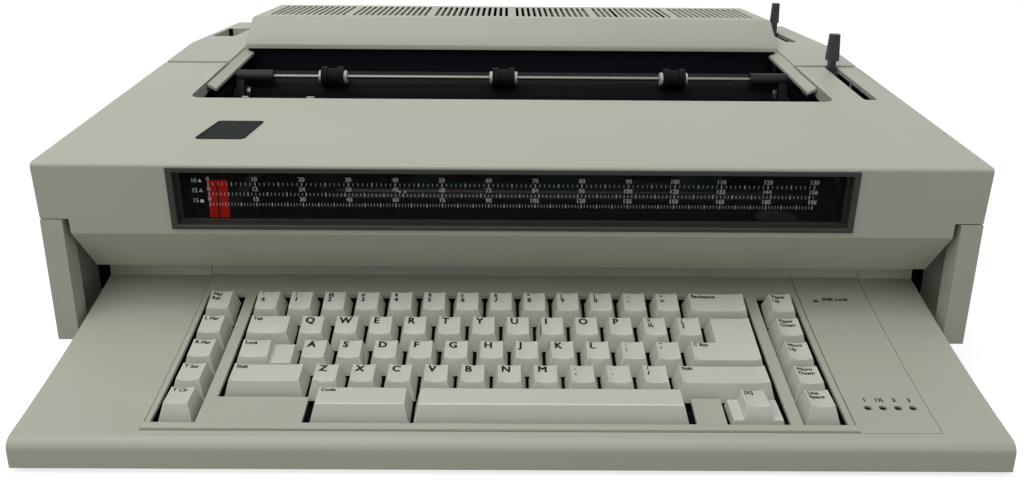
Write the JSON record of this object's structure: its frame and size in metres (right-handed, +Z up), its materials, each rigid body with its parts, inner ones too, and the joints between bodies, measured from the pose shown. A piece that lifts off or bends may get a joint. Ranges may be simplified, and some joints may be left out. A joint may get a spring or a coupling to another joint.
{
  "type": "electronic typewriter",
  "caption": "Desktop electronic typewriter with a sloping keyboard wing, hinged front cover, scale window, paper bail and raised rear hood.",
  "frame": {"origin": "centre of the footprint, on the surface that the feet stand on", "axes": "+X to the typist's right, +Y to the rear, +Z up"},
  "size_m": [0.516, 0.49, 0.173],
  "materials": {
    "housing": "fine textured",
    "key_cap": "satin",
    "dark_trim": "satin",
    "scale_glass": "smoked",
    "pointer_red": "clear red",
    "platen_rubber": "ground",
    "steel": "satin",
    "motor_case": "satin",
    "moving_plastic": "moulded",
    "wheel_plastic": "moulded",
    "hammer_steel": "ground",
    "lamp_lens": "clear dark",
    "pan_sheet": "satin black",
    "belt": "moulded",
    "board": "laminate"
  },
  "bodies": {
    "base": {"base_housing": "housing", "keyboard_tray": "housing", "key_bezel": "housing", "indicator_panel": "housing", "indicator_lamps": "lamp_lens", "rear_cover": "housing", "rubber_feet": "platen_rubber", "housing_screws": "steel", "key_plate": "steel", "circuit_boards": "board", "side_frames": "steel", "carrier_rails": "steel", "drive_motors": "motor_case", "power_supply": "motor_case", "power_inlet": "dark_trim", "drive_belt": "belt"},
    "cover": {"front_cover": "housing", "scale_bezel": "dark_trim", "scale_plate": "scale_glass"},
    "platen": {"platen_roller": "platen_rubber", "platen_shaft": "steel"},
    "pinion": {"feed_pinion": "moving_plastic"},
    "paper_pan": {"paper_pan": "pan_sheet"},
    "feed_rollers": {"feed_rollers": "platen_rubber"},
    "bail": {"bail_rod": "steel", "bail_arms": "dark_trim"},
    "bail_rollers": {"bail_rollers": "platen_rubber"},
    "bail_lever": {"bail_lever": "dark_trim"},
    "release_lever": {"release_lever": "dark_trim"},
    "carrier": {"carrier_frame": "moving_plastic", "ribbon_cartridge": "moving_plastic", "scale_pointer": "pointer_red"},
    "print_wheel": {"print_wheel": "wheel_plastic"},
    "print_hammer": {"print_hammer": "hammer_steel"},
    "drive_pulley": {"drive_pulley": "moving_plastic"},
    "idler_pulley": {"idler_pulley": "moving_plastic"},
    "power_switch": {"power_switch": "dark_trim"},
    "number_row_keys": {"number_row_keys": "key_cap"},
    "upper_row_keys": {"upper_row_keys": "key_cap"},
    "home_row_keys": {"home_row_keys": "key_cap"},
    "lower_row_keys": {"lower_row_keys": "key_cap"},
    "backspace_key": {"backspace_key": "key_cap"},
    "tab_key": {"tab_key": "key_cap"},
    "lock_key": {"lock_key": "key_cap"},
    "return_key": {"return_key": "key_cap"},
    "left_shift_key": {"left_shift_key": "key_cap"},
    "right_shift_key": {"right_shift_key": "key_cap"},
    "code_key": {"code_key": "key_cap"},
    "space_bar": {"space_bar": "key_cap"},
    "correction_key": {"correction_key": "key_cap"},
    "margin_release_key": {"margin_release_key": "key_cap"},
    "left_margin_key": {"left_margin_key": "key_cap"},
    "right_margin_key": {"right_margin_key": "key_cap"},
    "tab_set_key": {"tab_set_key": "key_cap"},
    "tab_clear_key": {"tab_clear_key": "key_cap"},
    "paper_up_key": {"paper_up_key": "key_cap"},
    "paper_down_key": {"paper_down_key": "key_cap"},
    "micro_up_key": {"micro_up_key": "key_cap"},
    "micro_down_key": {"micro_down_key": "key_cap"},
    "line_space_key": {"line_space_key": "key_cap"}
  },
  "joints": [
    {"name": "cover_hinge", "type": "hinge", "parent": "base", "child": "cover", "pos_m": [0, 0.044, 0.1398], "axis": [-1, 0, 0], "range_deg": [0, 65]},
    {"name": "platen_turn", "type": "hinge", "parent": "base", "child": "platen", "pos_m": [0, 0.063, 0.115], "axis": [1, 0, 0], "continuous": true},
    {"name": "pinion_turn", "type": "hinge", "parent": "base", "child": "pinion", "pos_m": [0.22, 0.091, 0.115], "axis": [1, 0, 0], "continuous": true},
    {"name": "pan_drop", "type": "slide", "parent": "base", "child": "paper_pan", "axis": [0, 0, -1], "range_m": [0, 0.003]},
    {"name": "feed_roller_turn", "type": "hinge", "parent": "paper_pan", "child": "feed_rollers", "pos_m": [0, 0.063, 0.0884], "axis": [1, 0, 0], "continuous": true},
    {"name": "bail_swing", "type": "hinge", "parent": "base", "child": "bail", "pos_m": [0, 0.03, 0.092], "axis": [1, 0, 0], "range_deg": [0, 24.1]},
    {"name": "bail_roller_turn", "type": "hinge", "parent": "bail", "child": "bail_rollers", "pos_m": [0, 0.044, 0.134], "axis": [1, 0, 0], "continuous": true},
    {"name": "bail_lever_swing", "type": "hinge", "parent": "base", "child": "bail_lever", "pos_m": [0.2375, 0.005, 0.06], "axis": [1, 0, 0], "range_deg": [0, 48]},
    {"name": "release_lever_swing", "type": "hinge", "parent": "base", "child": "release_lever", "pos_m": [0.235, 0.162, 0.075], "axis": [1, 0, 0], "range_deg": [0, 36]},
    {"name": "carrier_slide", "type": "slide", "parent": "base", "child": "carrier", "axis": [1, 0, 0], "range_m": [0, 0.3302]},
    {"name": "wheel_turn", "type": "hinge", "parent": "carrier", "child": "print_wheel", "pos_m": [-0.166, 0.039, 0.085], "axis": [0, 1, 0], "continuous": true},
    {"name": "hammer_strike", "type": "slide", "parent": "carrier", "child": "print_hammer", "axis": [0, 1, 0], "range_m": [0, 0.0022], "stiffness_N_per_m": 200, "springref_m": -0.0015},
    {"name": "drive_pulley_turn", "type": "hinge", "parent": "base", "child": "drive_pulley", "pos_m": [0.194, 0, 0.036], "axis": [0, 0, 1], "continuous": true},
    {"name": "idler_pulley_turn", "type": "hinge", "parent": "base", "child": "idler_pulley", "pos_m": [-0.194, 0, 0.036], "axis": [0, 0, 1], "continuous": true},
    {"name": "switch_rock", "type": "hinge", "parent": "base", "child": "power_switch", "pos_m": [-0.252, 0.19, 0.06], "axis": [0, 0, 1], "range_deg": [0, 12]},
    {"name": "number_row_keys_press", "type": "slide", "parent": "base", "child": "number_row_keys", "axis": [0, 0.363, -0.9318], "range_m": [0, 0.0034], "stiffness_N_per_m": 1950, "springref_m": -0.002},
    {"name": "upper_row_keys_press", "type": "slide", "parent": "base", "child": "upper_row_keys", "axis": [0, 0.2998, -0.954], "range_m": [0, 0.0034], "stiffness_N_per_m": 1800, "springref_m": -0.002},
    {"name": "home_row_keys_press", "type": "slide", "parent": "base", "child": "home_row_keys", "axis": [0, 0.2351, -0.972], "range_m": [0, 0.0034], "stiffness_N_per_m": 1650, "springref_m": -0.002},
    {"name": "lower_row_keys_press", "type": "slide", "parent": "base", "child": "lower_row_keys", "axis": [0, 0.1695, -0.9855], "range_m": [0, 0.0034], "stiffness_N_per_m": 1500, "springref_m": -0.002},
    {"name": "backspace_key_press", "type": "slide", "parent": "base", "child": "backspace_key", "axis": [0, 0.363, -0.9318], "range_m": [0, 0.0034], "stiffness_N_per_m": 150, "springref_m": -0.002},
    {"name": "tab_key_press", "type": "slide", "parent": "base", "child": "tab_key", "axis": [0, 0.2998, -0.954], "range_m": [0, 0.0034], "stiffness_N_per_m": 150, "springref_m": -0.002},
    {"name": "lock_key_press", "type": "slide", "parent": "base", "child": "lock_key", "axis": [0, 0.2351, -0.972], "range_m": [0, 0.0034], "stiffness_N_per_m": 150, "springref_m": -0.002},
    {"name": "return_key_press", "type": "slide", "parent": "base", "child": "return_key", "axis": [0, 0.2676, -0.9635], "range_m": [0, 0.0034], "stiffness_N_per_m": 450, "springref_m": -0.002},
    {"name": "left_shift_key_press", "type": "slide", "parent": "base", "child": "left_shift_key", "axis": [0, 0.1695, -0.9855], "range_m": [0, 0.0034], "stiffness_N_per_m": 150, "springref_m": -0.002},
    {"name": "right_shift_key_press", "type": "slide", "parent": "base", "child": "right_shift_key", "axis": [0, 0.1695, -0.9855], "range_m": [0, 0.0034], "stiffness_N_per_m": 150, "springref_m": -0.002},
    {"name": "code_key_press", "type": "slide", "parent": "base", "child": "code_key", "axis": [0, 0.103, -0.9947], "range_m": [0, 0.0034], "stiffness_N_per_m": 150, "springref_m": -0.002},
    {"name": "space_bar_press", "type": "slide", "parent": "base", "child": "space_bar", "axis": [0, 0.103, -0.9947], "range_m": [0, 0.0034], "stiffness_N_per_m": 450, "springref_m": -0.002},
    {"name": "correction_key_press", "type": "slide", "parent": "base", "child": "correction_key", "axis": [0, 0.103, -0.9947], "range_m": [0, 0.0034], "stiffness_N_per_m": 150, "springref_m": -0.002},
    {"name": "margin_release_key_press", "type": "slide", "parent": "base", "child": "margin_release_key", "axis": [0, 0.363, -0.9318], "range_m": [0, 0.0034], "stiffness_N_per_m": 150, "springref_m": -0.002},
    {"name": "left_margin_key_press", "type": "slide", "parent": "base", "child": "left_margin_key", "axis": [0, 0.2998, -0.954], "range_m": [0, 0.0034], "stiffness_N_per_m": 150, "springref_m": -0.002},
    {"name": "right_margin_key_press", "type": "slide", "parent": "base", "child": "right_margin_key", "axis": [0, 0.2351, -0.972], "range_m": [0, 0.0034], "stiffness_N_per_m": 150, "springref_m": -0.002},
    {"name": "tab_set_key_press", "type": "slide", "parent": "base", "child": "tab_set_key", "axis": [0, 0.1695, -0.9855], "range_m": [0, 0.0034], "stiffness_N_per_m": 150, "springref_m": -0.002},
    {"name": "tab_clear_key_press", "type": "slide", "parent": "base", "child": "tab_clear_key", "axis": [0, 0.103, -0.9947], "range_m": [0, 0.0034], "stiffness_N_per_m": 150, "springref_m": -0.002},
    {"name": "paper_up_key_press", "type": "slide", "parent": "base", "child": "paper_up_key", "axis": [0, 0.363, -0.9318], "range_m": [0, 0.0034], "stiffness_N_per_m": 150, "springref_m": -0.002},
    {"name": "paper_down_key_press", "type": "slide", "parent": "base", "child": "paper_down_key", "axis": [0, 0.2998, -0.954], "range_m": [0, 0.0034], "stiffness_N_per_m": 150, "springref_m": -0.002},
    {"name": "micro_up_key_press", "type": "slide", "parent": "base", "child": "micro_up_key", "axis": [0, 0.2351, -0.972], "range_m": [0, 0.0034], "stiffness_N_per_m": 150, "springref_m": -0.002},
    {"name": "micro_down_key_press", "type": "slide", "parent": "base", "child": "micro_down_key", "axis": [0, 0.1695, -0.9855], "range_m": [0, 0.0034], "stiffness_N_per_m": 150, "springref_m": -0.002},
    {"name": "line_space_key_press", "type": "slide", "parent": "base", "child": "line_space_key", "axis": [0, 0.103, -0.9947], "range_m": [0, 0.0034], "stiffness_N_per_m": 150, "springref_m": -0.002}
  ],
  "couplings": [
    {"joint": "pinion_turn", "follows": "platen_turn", "ratio": -3},
    {"joint": "feed_roller_turn", "follows": "platen_turn", "ratio": -2.5333},
    {"joint": "bail_swing", "follows": "bail_lever_swing", "ratio": 0.5},
    {"joint": "release_lever_swing", "follows": "pan_drop", "rad_per_m": 209.44},
    {"joint": "drive_pulley_turn", "follows": "carrier_slide", "rad_per_m": 77.821},
    {"joint": "idler_pulley_turn", "follows": "carrier_slide", "rad_per_m": 77.821}
  ]
}
